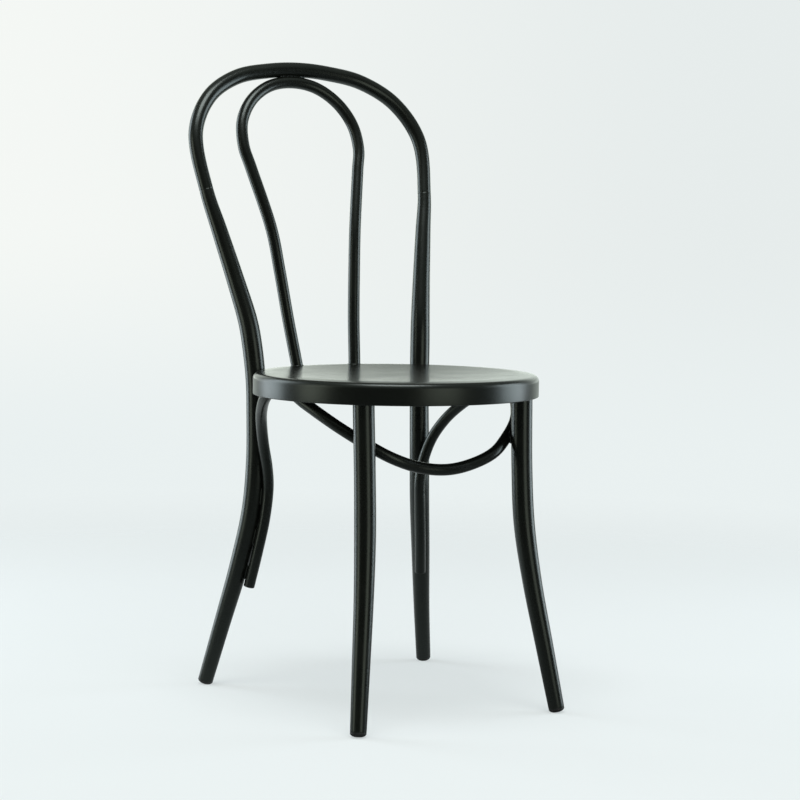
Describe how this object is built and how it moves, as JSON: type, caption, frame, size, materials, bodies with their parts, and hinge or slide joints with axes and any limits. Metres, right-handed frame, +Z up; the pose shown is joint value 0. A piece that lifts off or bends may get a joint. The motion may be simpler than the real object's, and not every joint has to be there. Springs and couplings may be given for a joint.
{
  "type": "metal bentwood cafe chair",
  "caption": "Black tubular metal side chair in bentwood style: round pan seat, hoop back with a smaller hoop inside, splayed legs and a looped brace.",
  "frame": {"origin": "on the floor, under the middle of the chair's overall width and depth", "axes": "+Z up; the sitter faces -Y; +X is toward the sitter's left"},
  "size_m": [0.402, 0.5056, 0.9096],
  "materials": {
    "black_coat": "satin black powder coat",
    "glide_rubber": "matt black",
    "bare_steel": "bare, hidden inside the hoop joints"
  },
  "bodies": {
    "root": {"seat_pan": "black_coat", "rear_leg_left": "black_coat", "rear_leg_right": "black_coat", "back_hoop": "black_coat", "inner_hoop": "black_coat", "front_leg_left": "black_coat", "front_leg_right": "black_coat", "front_plate_left": "black_coat", "front_plate_right": "black_coat", "brace": "black_coat", "brace_plug_left": "glide_rubber", "brace_plug_right": "glide_rubber", "rear_glide_left": "glide_rubber", "rear_glide_right": "glide_rubber", "front_glide_left": "glide_rubber", "front_glide_right": "glide_rubber", "joint_sleeve_left": "bare_steel", "joint_sleeve_right": "bare_steel"}
  },
  "joints": []
}
